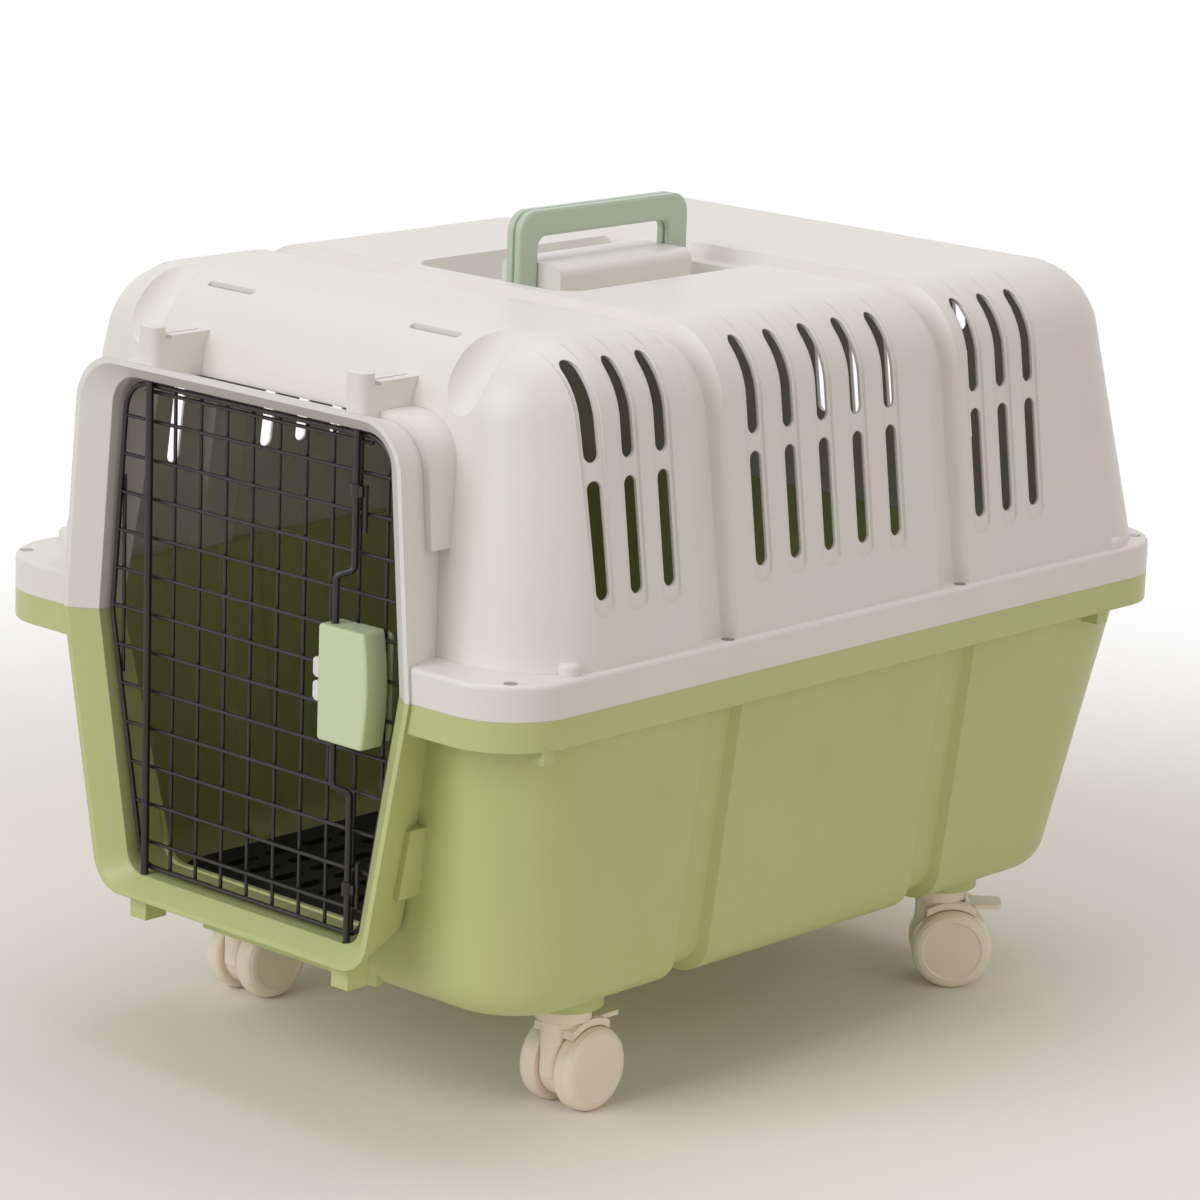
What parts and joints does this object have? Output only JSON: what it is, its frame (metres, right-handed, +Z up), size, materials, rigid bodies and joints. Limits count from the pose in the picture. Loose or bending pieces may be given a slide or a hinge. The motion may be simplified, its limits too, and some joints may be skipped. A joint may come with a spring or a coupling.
{
  "type": "dog crate",
  "caption": "Plastic dog crate with a white vented shell screwed to a green tub, a swinging wire door with a squeeze latch, folding carry handles and braked swivel casters.",
  "frame": {"origin": "on the floor under the middle of the crate's outline", "axes": "+Z up; the door faces -Y; +X is the crate's width, towards the latch side of the door"},
  "size_m": [0.45, 0.623, 0.516],
  "materials": {
    "shell_plastic": "smooth satin white moulding",
    "tub_plastic": "smooth satin light green moulding",
    "screw_steel": "zinc plated screw",
    "mat_plastic": "black slotted plastic",
    "door_wire": "black coated steel wire",
    "latch_plastic": "pale green moulding",
    "slide_plastic": "white moulding",
    "spring_steel": "bare spring wire",
    "handle_plastic": "sage green moulding",
    "pin_steel": "plain steel pin",
    "caster_plastic": "cream moulding",
    "wheel_plastic": "cream moulding"
  },
  "bodies": {
    "crate": {"lower_tub": "tub_plastic", "upper_shell": "shell_plastic", "rim_screws": "screw_steel", "floor_mat": "mat_plastic", "handle_pin_left": "pin_steel", "handle_pin_right": "pin_steel"},
    "door": {"door_frame_wire": "door_wire", "door_cross_wires": "door_wire", "door_upright_wires": "door_wire", "door_hinge_rod": "door_wire", "bolt_guides": "door_wire", "latch_cover": "latch_plastic", "latch_back_plate": "latch_plastic", "latch_spring": "spring_steel"},
    "upper_bolt": {"latch_slide_upper": "slide_plastic", "latch_bolt_upper": "door_wire"},
    "lower_bolt": {"latch_slide_lower": "slide_plastic", "latch_bolt_lower": "door_wire"},
    "right_handle": {"handle_right": "handle_plastic"},
    "left_handle": {"handle_left": "handle_plastic"},
    "caster_front_right": {"caster_body_front_right": "caster_plastic", "caster_stem_front_right": "pin_steel", "wheel_axle_front_right": "pin_steel", "brake_pin_front_right": "pin_steel"},
    "outer_wheel_front_right": {"wheel_outer_front_right": "wheel_plastic"},
    "inner_wheel_front_right": {"wheel_inner_front_right": "wheel_plastic"},
    "pedal_front_right": {"brake_pedal_front_right": "caster_plastic"},
    "caster_front_left": {"caster_body_front_left": "caster_plastic", "caster_stem_front_left": "pin_steel", "wheel_axle_front_left": "pin_steel", "brake_pin_front_left": "pin_steel"},
    "outer_wheel_front_left": {"wheel_outer_front_left": "wheel_plastic"},
    "inner_wheel_front_left": {"wheel_inner_front_left": "wheel_plastic"},
    "pedal_front_left": {"brake_pedal_front_left": "caster_plastic"},
    "caster_rear_right": {"caster_body_rear_right": "caster_plastic", "caster_stem_rear_right": "pin_steel", "wheel_axle_rear_right": "pin_steel", "brake_pin_rear_right": "pin_steel"},
    "outer_wheel_rear_right": {"wheel_outer_rear_right": "wheel_plastic"},
    "inner_wheel_rear_right": {"wheel_inner_rear_right": "wheel_plastic"},
    "pedal_rear_right": {"brake_pedal_rear_right": "caster_plastic"},
    "caster_rear_left": {"caster_body_rear_left": "caster_plastic", "caster_stem_rear_left": "pin_steel", "wheel_axle_rear_left": "pin_steel", "brake_pin_rear_left": "pin_steel"},
    "outer_wheel_rear_left": {"wheel_outer_rear_left": "wheel_plastic"},
    "inner_wheel_rear_left": {"wheel_inner_rear_left": "wheel_plastic"},
    "pedal_rear_left": {"brake_pedal_rear_left": "caster_plastic"}
  },
  "joints": [
    {"name": "door_swing", "type": "hinge", "parent": "crate", "child": "door", "pos_m": [-0.088, -0.2975, 0.277], "axis": [0, 0, -1], "range_deg": [0, 155]},
    {"name": "upper_bolt_slide", "type": "slide", "parent": "door", "child": "upper_bolt", "axis": [0, 0, 1], "range_m": [0, 0.01], "stiffness_N_per_m": 120, "springref_m": 0.014, "deforming": ["latch_spring"]},
    {"name": "lower_bolt_slide", "type": "slide", "parent": "door", "child": "lower_bolt", "axis": [0, 0, -1], "range_m": [0, 0.01]},
    {"name": "right_handle_fold", "type": "hinge", "parent": "crate", "child": "right_handle", "pos_m": [0.0032, -0.007, 0.47], "axis": [0, 1, 0], "range_deg": [0, 90]},
    {"name": "left_handle_fold", "type": "hinge", "parent": "crate", "child": "left_handle", "pos_m": [-0.0032, -0.007, 0.47], "axis": [0, -1, 0], "range_deg": [0, 90]},
    {"name": "swivel_front_right", "type": "hinge", "parent": "crate", "child": "caster_front_right", "pos_m": [0.139, -0.165, 0.06], "axis": [0, 0, 1], "continuous": true},
    {"name": "spin_outer_front_right", "type": "hinge", "parent": "caster_front_right", "child": "outer_wheel_front_right", "pos_m": [0.139, -0.156, 0.026], "axis": [1, 0, 0], "continuous": true},
    {"name": "spin_inner_front_right", "type": "hinge", "parent": "caster_front_right", "child": "inner_wheel_front_right", "pos_m": [0.139, -0.156, 0.026], "axis": [1, 0, 0], "continuous": true},
    {"name": "brake_front_right", "type": "hinge", "parent": "caster_front_right", "child": "pedal_front_right", "pos_m": [0.139, -0.147, 0.0535], "axis": [-1, 0, 0], "range_deg": [0, 11]},
    {"name": "swivel_front_left", "type": "hinge", "parent": "crate", "child": "caster_front_left", "pos_m": [-0.139, -0.165, 0.06], "axis": [0, 0, 1], "continuous": true},
    {"name": "spin_outer_front_left", "type": "hinge", "parent": "caster_front_left", "child": "outer_wheel_front_left", "pos_m": [-0.139, -0.156, 0.026], "axis": [1, 0, 0], "continuous": true},
    {"name": "spin_inner_front_left", "type": "hinge", "parent": "caster_front_left", "child": "inner_wheel_front_left", "pos_m": [-0.139, -0.156, 0.026], "axis": [1, 0, 0], "continuous": true},
    {"name": "brake_front_left", "type": "hinge", "parent": "caster_front_left", "child": "pedal_front_left", "pos_m": [-0.139, -0.147, 0.0535], "axis": [-1, 0, 0], "range_deg": [0, 11]},
    {"name": "swivel_rear_right", "type": "hinge", "parent": "crate", "child": "caster_rear_right", "pos_m": [0.137, 0.195, 0.06], "axis": [0, 0, 1], "continuous": true},
    {"name": "spin_outer_rear_right", "type": "hinge", "parent": "caster_rear_right", "child": "outer_wheel_rear_right", "pos_m": [0.14364, 0.20108, 0.026], "axis": [0.6756, -0.7373, 0], "continuous": true},
    {"name": "spin_inner_rear_right", "type": "hinge", "parent": "caster_rear_right", "child": "inner_wheel_rear_right", "pos_m": [0.14364, 0.20108, 0.026], "axis": [0.6756, -0.7373, 0], "continuous": true},
    {"name": "brake_rear_right", "type": "hinge", "parent": "caster_rear_right", "child": "pedal_rear_right", "pos_m": [0.15027, 0.20716, 0.0535], "axis": [-0.6756, 0.7373, 0], "range_deg": [0, 11]},
    {"name": "swivel_rear_left", "type": "hinge", "parent": "crate", "child": "caster_rear_left", "pos_m": [-0.137, 0.195, 0.06], "axis": [0, 0, 1], "continuous": true},
    {"name": "spin_outer_rear_left", "type": "hinge", "parent": "caster_rear_left", "child": "outer_wheel_rear_left", "pos_m": [-0.137, 0.204, 0.026], "axis": [1, 0, 0], "continuous": true},
    {"name": "spin_inner_rear_left", "type": "hinge", "parent": "caster_rear_left", "child": "inner_wheel_rear_left", "pos_m": [-0.137, 0.204, 0.026], "axis": [1, 0, 0], "continuous": true},
    {"name": "brake_rear_left", "type": "hinge", "parent": "caster_rear_left", "child": "pedal_rear_left", "pos_m": [-0.137, 0.213, 0.0535], "axis": [-1, 0, 0], "range_deg": [0, 11]}
  ],
  "couplings": [
    {"joint": "lower_bolt_slide", "follows": "upper_bolt_slide", "ratio": 1}
  ]
}
